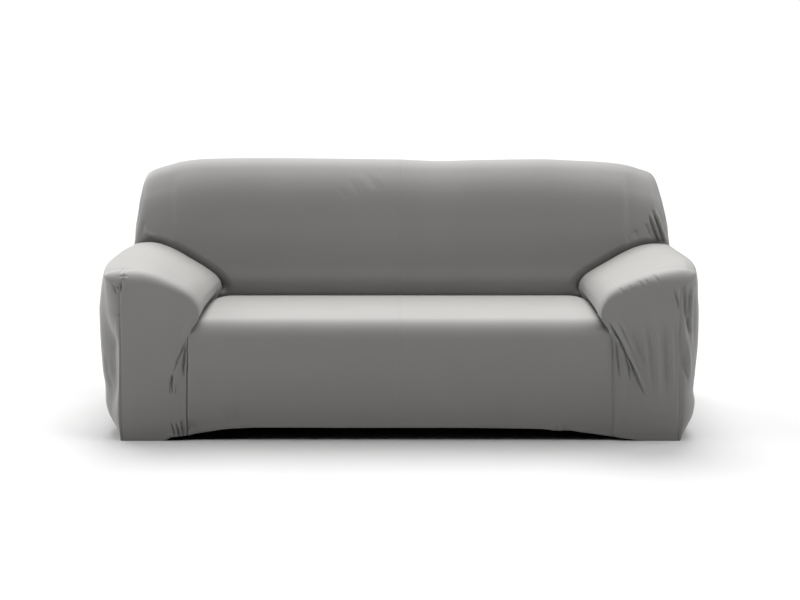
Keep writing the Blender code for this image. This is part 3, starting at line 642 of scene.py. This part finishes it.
# Folds on each seat panel's drop, seen from the front.
SEAT_FOLDS = {
    LEFT: (
        (((-0.604, 0.135), (-0.597, 0.052)), 3.4, -3.6),
        (((-0.590, 0.140), (-0.585, 0.052)), 3.4, -3.2),
        (((-0.578, 0.138), (-0.574, 0.052)), 3.4, -3.2),
        (((-0.565, 0.140), (-0.562, 0.052)), 3.4, -3.6),
        (((-0.740, 0.035), (-0.734, 0.055), (-0.726, 0.088)), 3.2, -5.4),
        (((-0.731, 0.036), (-0.726, 0.058), (-0.719, 0.092)), 3.2, 4.3),
        (((-0.722, 0.034), (-0.720, 0.055), (-0.717, 0.085)), 3.2, -4.0),
    ),
    RIGHT: (
        (((0.532, 0.035), (0.535, 0.060)), 4.0, 3.2),
        (((0.545, 0.030), (0.546, 0.058)), 4.0, -4.0),
        (((0.558, 0.030), (0.558, 0.060)), 4.0, 3.6),
        (((0.571, 0.034), (0.570, 0.058)), 4.0, -3.2),
        (((0.728, 0.375), (0.730, 0.300)), 3.4, -3.6),
    ),
}


# Where the tuck's swell starts on the seat, how far the middle seam's flat strip goes, and how much of
# the usual swell beside a seam that strip loses.
SEAT_TUCK_STARTS = (0.66, 0.70)
MIDDLE_SEAM_ENDS = (0.02, 0.06)
MIDDLE_SEAM_FLATTENED = 0.8


def seat_relief(places, hand, seam, hem):
    front = places[:, [0, 2]]
    on_front = 1 - ramp(places[:, 1] + DEPTH / 2, *FRONT_ENDS)
    heights = sum(fold(front, *row) for row in SEAT_FOLDS[hand]) * on_front
    at_tuck = ramp(np.abs(places[:, 0]), *SEAT_TUCK_STARTS) * tuck_depth(places[:, 2], hand)
    heights += on_front * at_tuck * TUCK_SWELL * swell(seam, TUCK_REACH)
    middle = 1 - ramp(np.abs(places[:, 0]), *MIDDLE_SEAM_ENDS)
    return heights - middle * MIDDLE_SEAM_FLATTENED * SEAM_SWELL * swell(seam, SEAM_REACH)


for side, hand in SIDES.items():
    panel = sew_panel(
        f"knit_seat_{side}", hand, [(seat_skin, HALF_SEAT, SEAT_FORWARD_AND_DOWN)], (0, -1, 1), seat_relief
    )
    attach(panel, "root")
    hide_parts(f"seat_panel_{side}")

# Inside back panels. Each covers half of the leaning back from the tuck behind the seat, over the top
# to the seam behind it. The front edge of its outer end is the corner seam of the wing.
TOP_START_HEIGHT = 0.835
MIDDLE_RISE = 0.15
WING_X = 0.98
TOWARDS_SEAM = 6
SEAM_SAMPLES = 160
SEAM_GAP = 0.0003
UP_ARM = shares(0.46, 0.0055, end=PLAIN)
UP_WING = shares(0.24, 0.006, PLAIN, PLAIN)
OVER_TOP = shares(0.21, 0.006, PLAIN)
HALF_BACK_LENGTH = 1.00
WING_START = 0.88
TO_WING = shares(WING_START * HALF_BACK_LENGTH, 0.0085, end=PLAIN)
ON_WING = shares((1 - WING_START) * HALF_BACK_LENGTH, 0.0042, PLAIN)
HALF_BACK = np.concatenate([TO_WING * WING_START, mix(WING_START, 1, ON_WING)[1:]])
LEANING_ENDS = (0.75, 0.78)


def tuck_beside_arm(places, hand):
    """How far back the inside of the back is tucked at each x and z, which is most along the arm's seam."""
    along = np.linspace(0, 1, SEAM_SAMPLES)
    ends = arm_skin(along, 0 * along, hand)[:, [0, 2]]
    steps = np.diff(ends, axis=0)
    away = places[..., None, :] - ends[:-1]
    shares_on = np.clip((away * steps).sum(-1) / (steps**2).sum(-1), 0, 1)
    gaps = np.linalg.norm(away - shares_on[..., None] * steps, axis=-1)
    nearest = gaps.argmin(-1)[..., None]
    gap, share_on = (np.take_along_axis(values, nearest, -1)[..., 0] for values in (gaps, shares_on))
    _, groove = arm_seam_height((nearest[..., 0] + share_on) / (SEAM_SAMPLES - 1), hand)
    near = np.clip(1 - np.maximum(gap - SEAM_GAP, 0) / BACK_TUCK_WIDTH, 0, 1) ** 2
    return groove / BACK_GROOVE * BACK_TUCK * near


def inside_back_skin(share, up, hand):
    """Half the inside of the back. up is 0 at the tuck, 1 at the arm's shoulder, 2 and 3 over the top."""
    across = np.clip(up, 0, 1)
    arm = arm_skin(across, np.zeros_like(across), hand)
    low = back_share(arm_seam_height(across, hand)[0])
    top_start = back_share(TOP_START_HEIGHT)
    seam_share = mix(mix(low, top_start, np.clip(up - 1, 0, 1)), 1, np.clip(up - 2, 0, 1))
    middle_low = sum(arm_seam_height(across, side)[0] for side in (LEFT, RIGHT)) / 2
    middle_share = back_share(middle_low) + MIDDLE_RISE * across**3
    middle_share = mix(mix(middle_share, top_start, np.clip(up - 1, 0, 1)), 1, np.clip(up - 2, 0, 1))
    z = back_line(seam_share, hand, WING_X)[1]
    seam_x = np.where(up <= 1, arm[..., 0], look_up(WING_SEAM, z, 1 + hand))
    x = share * seam_x
    skin = back_skin(x, mix(middle_share, seam_share, share**TOWARDS_SEAM), hand)
    skin[..., 1] += tuck_beside_arm(skin[..., [0, 2]], hand)
    return skin


# Folds on each inside back panel, seen from the front.
BACK_FOLDS = {
    LEFT: (
        (((-0.235, 0.815), (-0.205, 0.765)), 7.0, -1.3),
        (((-0.200, 0.850), (-0.150, 0.770)), 7.0, -1.3),
        (((-0.165, 0.865), (-0.110, 0.780)), 7.0, 1.3),
        (((-0.140, 0.880), (-0.080, 0.790)), 7.0, -1.3),
        (((-0.110, 0.890), (-0.050, 0.800)), 7.0, 1.3),
        (((-0.985, 0.690), (-0.992, 0.620)), 7.0, -3.5),
        (((-0.995, 0.654), (-0.966, 0.636), (-0.935, 0.622)), 8.0, 2.4),
        (((-0.975, 0.622), (-0.940, 0.610), (-0.900, 0.600)), 7.0, -4.0),
    ),
    RIGHT: (
        (((0.957, 0.715), (0.975, 0.665), (0.997, 0.606)), 4.2, -12.0, 0.8, (0.35, 0.05)),
        (((0.972, 0.735), (0.990, 0.680), (1.012, 0.606)), 4.2, -12.0, 0.8, (0.35, 0.05)),
        (((0.945, 0.680), (0.958, 0.640), (0.966, 0.618)), 3.6, -5.0),
        (((0.905, 0.660), (0.912, 0.612)), 4.0, -2.5),
        (((0.876, 0.640), (0.881, 0.600)), 4.0, -2.5),
    ),
}


def inside_back_relief(places, hand, seam, hem):
    leaning = 1 - ramp(places[:, 1] + DEPTH / 2, *LEANING_ENDS)
    heights = sum(fold(places[:, [0, 2]], *row) for row in BACK_FOLDS[hand]) * leaning
    middle = 1 - ramp(np.abs(places[:, 0]), *MIDDLE_SEAM_ENDS)
    return heights - middle * MIDDLE_SEAM_FLATTENED * SEAM_SWELL * swell(seam, SEAM_REACH)


UP_BACK = np.concatenate([UP_ARM, 1 + UP_WING[1:], 2 + OVER_TOP[1:]])
for side, hand in SIDES.items():
    panel = sew_panel(
        f"knit_inside_back_{side}", hand, [(inside_back_skin, HALF_BACK, UP_BACK)], (0, -1, 1),
        inside_back_relief,
    )
    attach(panel, "root")
    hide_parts(f"inside_back_panel_{side}")

# Outside back panels. Each is half of the plain back of the cover, from the seam behind the top to the
# hem on the floor, which an elastic gathers a little.
ARM_REAR_HEIGHT = 0.600

# The outside of the back, from the floor to the seam behind its top: z, y.
BACK_OUTSIDE = (
    (0.000, 0.890),
    (0.300, 0.889),
    (0.600, 0.886),
    (0.780, 0.883),
    (0.845, 0.876),
)
BEHIND_WING = shares(0.24, 0.008, end=PLAIN)
BEHIND_ARM = shares(0.60, 0.008, PLAIN, BESIDE_HEM)


def outside_back_skin(share, down, hand):
    """Half the outside of the back: down is 0 at the top seam, 1 at the arm's height and 2 at the hem."""
    top = inside_back_skin(share, np.full_like(share, 3.0), hand)
    z = mix(mix(top[..., 2], ARM_REAR_HEIGHT, np.clip(down, 0, 1)), 0, np.clip(down - 1, 0, 1))
    high = np.clip(1 - down, 0, 1)
    seam = look_up(WING_SEAM, z, 1 + hand)
    top_seam = look_up(WING_SEAM, top[..., 2], 1 + hand)
    x = share * seam + (top[..., 0] - share * top_seam) * high
    y = look_up(BACK_OUTSIDE, z, 1) - corner_drop(x, seam)
    top_y = look_up(BACK_OUTSIDE, top[..., 2], 1) - corner_drop(top[..., 0], top_seam)
    y = y + (top[..., 1] - top_y) * high**2
    return np.stack([x, y, z], axis=-1)


def hem_gathers(run, height, spacing, depth, reach):
    """Small upright pleats above an elastic hem, at uneven spacings."""
    phase = run / spacing * math.tau
    pleats = np.cos(phase + 1.3 * np.sin(0.37 * phase) + 0.8 * np.sin(0.11 * phase + 1.0))
    sizes = 0.6 + 0.4 * np.sin(0.23 * phase + 0.5)
    return depth * pleats * sizes * np.exp(-((height / reach) ** 2))


# Pleats above the hem: spacing, depth, reach. Drape over the back: depth, waves across, how they sway
# and how often on the way up, and the heights over which they start above the hem and end.
BACK_PLEATS = (0.052, 0.0016, 0.085)
DRAPE_DEPTH, DRAPE_WAVES, DRAPE_SWAY, DRAPE_SWAYS = 0.0016, 21, 0.9, 7
DRAPE_STARTS = (0.02, 0.25)
DRAPE_ENDS = (0.55, 0.80)


def outside_back_relief(places, hand, seam, hem):
    pleats = hem_gathers(places[:, 0], hem, *BACK_PLEATS)
    sway = DRAPE_SWAY * np.sin(places[:, 2] * DRAPE_SWAYS)
    drape = DRAPE_DEPTH * np.sin(places[:, 0] * DRAPE_WAVES + sway) * ramp(hem, *DRAPE_STARTS)
    return pleats + drape * (1 - ramp(places[:, 2], *DRAPE_ENDS))


DOWN_BACK = np.concatenate([BEHIND_WING, 1 + BEHIND_ARM[1:]])
for side, hand in SIDES.items():
    panel = sew_panel(
        f"knit_outside_back_{side}", hand, [(outside_back_skin, HALF_BACK, DOWN_BACK)], (0, 1, 0),
        outside_back_relief,
    )
    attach(panel, "root")
    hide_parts(f"outside_back_panel_{side}")

# Side panels. Each covers the outer side of an arm and the wing above and behind it, from the arm's
# shoulder seam to the floor, and turns the arm's front corner.
SIDE_SETTLES = (0.11, 0.50)
PULLED_FOOT = (0.05, 0.22)
PULLED_TOP = (0.32, 0.46)
SHOULDER_SWEEP = 4
WING_FULLNESS = 0.7
WING_FOOT = (0.7, 1.0)

# How the side turns the arm's front corner: y, and the share of the way out to the side there on the
# left where it is pulled flat below the roll, on the left elsewhere, and on the right.
CORNER_TURN = (
    (0.000, 0.00, 0.00, 0.00),
    (0.006, 0.05, 0.12, 0.28),
    (0.020, 0.10, 0.28, 0.52),
    (0.060, 0.26, 0.58, 0.83),
    (0.070, 0.40, 0.67, 0.88),
    (0.085, 0.66, 0.79, 0.94),
    (0.105, 0.86, 0.90, 0.97),
    (0.135, 0.97, 0.98, 1.00),
    (0.170, 1.00, 1.00, 1.00),
    (0.240, 1.00, 1.00, 1.00),
)

# Outer side of an arm below its roll: z, reach near the front left and right, reach further back,
# front corner.
ARM_SIDE = (
    (0.000, 0.992, 0.992, 1.027, 0.972),
    (0.035, 1.016, 1.017, 1.030, 0.973),
    (0.080, 1.042, 1.040, 1.036, 0.974),
    (0.120, 1.050, 1.045, 1.039, 0.974),
    (0.165, 1.050, 1.038, 1.042, 0.973),
    (0.230, 1.058, 1.043, 1.047, 0.970),
    (0.350, 1.062, 1.050, 1.050, 0.964),
    (0.440, 1.060, 1.048, 1.050, 0.961),
    (0.500, 1.052, 1.042, 1.048, 0.961),
    (0.550, 1.042, 1.038, 1.044, 0.962),
    (0.575, 1.035, 1.033, 1.038, 0.962),
    (0.590, 1.028, 1.028, 1.032, 0.962),
    (0.601, 1.024, 1.024, 1.030, 0.962),
)


def arm_side_skin(forward, down, hand):
    """The outer side of an arm, from the seam on its shoulder and front corner down to the hem."""
    top = arm_skin(np.ones_like(forward), forward, hand)

    def reach(y, z):
        side = mix(look_up(ARM_SIDE, z, 1 + hand), look_up(ARM_SIDE, z, 3), ramp(y, *SIDE_SETTLES))
        pulled = (1 - hand) * ramp(z, *PULLED_FOOT) * (1 - ramp(z, *PULLED_TOP))
        out = mix(look_up(CORNER_TURN, y, 2 + hand), look_up(CORNER_TURN, y, 1), pulled)
        return mix(look_up(ARM_SIDE, z, 4), side, out)

    y = top[..., 1] + FRONT_LEAN_OUT * down * (forward >= 2)
    z = top[..., 2] * (1 - down)
    x = reach(y, z) + (top[..., 0] - reach(top[..., 1], top[..., 2])) * (1 - down) ** SHOULDER_SWEEP
    front = arm_skin(np.ones_like(down), 2 + down, hand)
    x = np.where(forward >= 2, front[..., 0], x)
    return np.stack([x, y, z], axis=-1)


def wing_low_skin(back, down, hand):
    """The side of the cover behind the arm, from the arm's height to the hem: back is 1 at the rear seam."""
    z = ARM_REAR_HEIGHT * (1 - down)
    front = arm_side_skin(np.zeros_like(down), down, hand)
    rear = outside_back_skin(np.ones_like(down), 1 + down, hand)
    z = mix(front[..., 2], z, ramp(back, 0, 0.5))
    y = mix(front[..., 1], rear[..., 1], back)
    seam = look_up(WING_SEAM, z, 1 + hand)

    def reach(y):
        turned = np.clip(math.cos(SEAM_TURN) * CORNER_ROUND - (rear[..., 1] - y), 0, None)
        bulge = CORNER_ROUND - np.sqrt(CORNER_ROUND**2 - turned**2)
        return seam + CORNER_ROUND * (1 - math.cos(SEAM_TURN)) - bulge

    x = reach(y) + (front[..., 0] - reach(front[..., 1])) * (1 - back) ** 2
    return np.stack([x, y, mix(z, rear[..., 2], back)], axis=-1)


def wing_edge(down, hand):
    """The corner seam up the front of a wing: down is 0 at its top and 1 at the arm."""
    return inside_back_skin(np.ones_like(down), 2 - down, hand)


def wing_high_skin(back, down, hand):
    """The side of a wing above the arm: back is 1 at the rear seam, and down is 0 at the top seam."""
    one, zero = np.ones_like(back), np.zeros_like(back)

    def edge(kind, at):
        if kind == "front":
            return wing_edge(at, hand)
        if kind == "rear":
            return outside_back_skin(one, at, hand)
        if kind == "top":
            return inside_back_skin(one, 2 + at, hand)
        return wing_low_skin(at, zero, hand)

    u, v = back[..., None], down[..., None]
    sides = mix(edge("front", down), edge("rear", down), u) + mix(edge("top", back), edge("low", back), v)
    corners = mix(
        mix(edge("front", zero), edge("front", one), v), mix(edge("rear", zero), edge("rear", one), v), u
    )
    skin = sides - corners
    full = look_up(WING_SEAM, skin[..., 2], 1 + hand) + CORNER_ROUND * (1 - math.cos(SEAM_TURN))
    inner = (4 * back * (1 - back) * np.clip(3 * down, 0, 1)) ** WING_FULLNESS * (1 - ramp(down, *WING_FOOT))
    skin[..., 0] = mix(skin[..., 0], np.maximum(full, skin[..., 0]), inner)
    return skin


# Folds near the front corner of each side, seen from the front.
CORNER_FOLDS = {
    LEFT: (
        (
            ((-0.984, 0.440), (-0.988, 0.410), (-0.993, 0.343), (-0.998, 0.295), (-0.998, 0.237),
             (-1.006, 0.170)),
            4.5, -4.0, 0.3,
        ),
        (((-0.985, 0.572), (-0.978, 0.535), (-0.970, 0.515)), 3.6, -7.5, 0.4),
        (((-0.972, 0.566), (-0.972, 0.535)), 6.0, 4.5),
        # Hook at the top of the corner that is pulled flat, and the creases at its foot.
        (((-0.984, 0.436), (-0.972, 0.446), (-0.958, 0.446)), 3.0, 4.5, 0.5),
        (((-1.036, 0.300), (-1.030, 0.235), (-1.016, 0.160)), 4.0, -7.0, 0.4),
        (((-1.022, 0.260), (-1.018, 0.215), (-1.010, 0.150)), 3.6, -6.0, 0.4),
        (((-0.975, 0.602), (-0.990, 0.574)), 2.6, 5.4, 0.9),
        (((-0.986, 0.602), (-0.998, 0.574)), 2.6, 5.4, 0.9),
        (((-0.998, 0.600), (-1.005, 0.574)), 2.6, 5.1, 0.9),
        (((-1.010, 0.596), (-1.012, 0.574)), 2.6, 4.5, 0.9),
    ),
    RIGHT: (
        (((0.967, 0.568), (0.978, 0.520), (0.983, 0.460), (0.999, 0.399), (1.004, 0.355)), 4.0, -12.0, 0.4),
        (((0.993, 0.560), (0.999, 0.505), (0.998, 0.449), (0.998, 0.407), (1.004, 0.360)), 5.5, -13.5),
        (((0.966, 0.440), (0.976, 0.396), (0.996, 0.325), (1.012, 0.198)), 8.0, 8.2),
        (((0.970, 0.350), (0.980, 0.290), (1.003, 0.195)), 5.0, -7.5),
        (((1.020, 0.560), (1.022, 0.430), (1.024, 0.300)), 6.0, -7.5),
    ),
}

# Folds on each side, seen from the left or right. Columns as above, with paths of y, z.
SIDE_FOLDS = (
    (((0.180, 0.560), (0.165, 0.430), (0.160, 0.250)), 12.0, -3.0),
    (((0.240, 0.570), (0.250, 0.420), (0.262, 0.220)), 14.0, 2.6),
    (((0.310, 0.560), (0.330, 0.400), (0.335, 0.180)), 13.0, -2.6),
    (((0.420, 0.560), (0.400, 0.400), (0.405, 0.200)), 15.0, 2.6),
    (((0.500, 0.570), (0.480, 0.440), (0.470, 0.240)), 12.0, -2.8),
    (((0.620, 0.590), (0.580, 0.450), (0.560, 0.260)), 12.0, -4.0),
    (((0.640, 0.590), (0.630, 0.440), (0.640, 0.240)), 12.0, 3.4),
    (((0.655, 0.590), (0.690, 0.460), (0.710, 0.260)), 11.0, -3.6),
    (((0.665, 0.600), (0.730, 0.520), (0.790, 0.360)), 11.0, 3.0),
    (((0.670, 0.615), (0.740, 0.580), (0.810, 0.500)), 9.0, -2.6),
    (((0.680, 0.640), (0.730, 0.690), (0.770, 0.760)), 9.0, -1.8),
)


# How far behind the front face the corner's folds end, and the side's folds and pleats start.
CORNER_FOLDS_END = (0.11, 0.15)
SIDE_FOLDS_START = (0.10, 0.16)
SIDE_PLEATS_START = (0.12, 0.20)
SIDE_PLEATS = (0.048, 0.0018, 0.080)


def side_relief(places, hand, seam, hem):
    near_front = 1 - ramp(places[:, 1] + DEPTH / 2, *CORNER_FOLDS_END)
    heights = sum(fold(places[:, [0, 2]], *row) for row in CORNER_FOLDS[hand]) * near_front
    flat = places[:, [1, 2]] + (DEPTH / 2, 0)
    heights += sum(fold(flat, *row) for row in SIDE_FOLDS) * ramp(flat[:, 0], *SIDE_FOLDS_START)
    pleats = hem_gathers(flat[:, 0], hem, *SIDE_PLEATS) * ramp(flat[:, 0], *SIDE_PLEATS_START)
    return heights + pleats


SIDE_DOWN = shares(0.60, 0.0048, end=BESIDE_HEM)
WING_BACK = OVER_TOP
for side, hand in SIDES.items():
    blocks = [
        (arm_side_skin, FORWARD, SIDE_DOWN),
        (wing_low_skin, WING_BACK, SIDE_DOWN),
        (wing_high_skin, WING_BACK, 1 - UP_WING[::-1]),
    ]
    outward = (1 if hand == RIGHT else -1, 0, 0)
    panel = sew_panel(f"knit_side_{side}", hand, blocks, outward, side_relief, planar=True)
    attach(panel, "root")
    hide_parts(f"side_panel_{side}")

# Studio floor, a plain pale sheet that the cover stands on.
FLOOR_SIZE = 2000.0
floor_mesh = bmesh.new()
bmesh.ops.create_grid(floor_mesh, x_segments=1, y_segments=1, size=FLOOR_SIZE / 2)
floor_data = bpy.data.meshes.new("studio_floor")
floor_mesh.to_mesh(floor_data)
floor_mesh.free()
floor = bpy.data.objects.new("studio_floor", floor_data)
bpy.context.scene.collection.objects.link(floor)
pale_paper = bpy.data.materials.new("pale_studio_paper")
pale_paper.use_nodes = True
paper_shader = pale_paper.node_tree.nodes["Principled BSDF"]
paper_shader.inputs["Base Color"].default_value = (0.50, 0.50, 0.50, 1)
paper_shader.inputs["Roughness"].default_value = 0.9
paper_shader.inputs["Specular IOR Level"].default_value = 0.1
floor_data.materials.append(pale_paper)

# Studio light, soft and mostly from above and behind, with a faint light all round. The backdrop far
# beyond the floor is white. Each lamp is a softbox: degrees from straight up, degrees round from the
# right-hand side, strength.
SOFTBOXES = {
    "overhead_softbox": (0, 0, 1.38),
    "rear_softbox": (35, 90, 3.49),
    "rear_left_softbox": (65, 135, 1.87),
    "right_softbox": (35, 0, 1.89),
    "left_softbox": (65, 180, 1.35),
}
for name, (lean, around, strength) in SOFTBOXES.items():
    lamp_data = bpy.data.lights.new(name, "SUN")
    lamp_data.energy = strength
    lamp_data.angle = math.radians(40)
    lamp = bpy.data.objects.new(name, lamp_data)
    lamp.rotation_euler = (0, math.radians(lean), math.radians(around))
    bpy.context.scene.collection.objects.link(lamp)
bpy.context.scene.view_settings.view_transform = "Standard"
world = bpy.data.worlds.new("studio")
bpy.context.scene.world = world
world.use_nodes = True
around_light = world.node_tree.nodes["Background"]
around_light.inputs["Color"].default_value = (1, 1, 1, 1)
around_light.inputs["Strength"].default_value = 0.01
backdrop = node(world.node_tree, "ShaderNodeBackground", {"Color": (1, 1, 1, 1), "Strength": 1.05})
seen = node(world.node_tree, "ShaderNodeLightPath", {})
either = node(
    world.node_tree,
    "ShaderNodeMixShader",
    {0: seen.outputs["Is Camera Ray"], 1: around_light.outputs[0], 2: backdrop.outputs[0]},
)
world.node_tree.links.new(either.outputs[0], world.node_tree.nodes["World Output"].inputs["Surface"])

# Camera, a little above the cover and in front of its middle.
camera_data = bpy.data.cameras.new("camera")
camera_data.sensor_width = 36
camera_data.lens = 69.26
camera = bpy.data.objects.new("camera", camera_data)
camera.location = (0, -5.645, 1.441)
camera.rotation_euler = (math.radians(90 - 10.25), 0, 0)
bpy.context.scene.collection.objects.link(camera)
bpy.context.scene.camera = camera
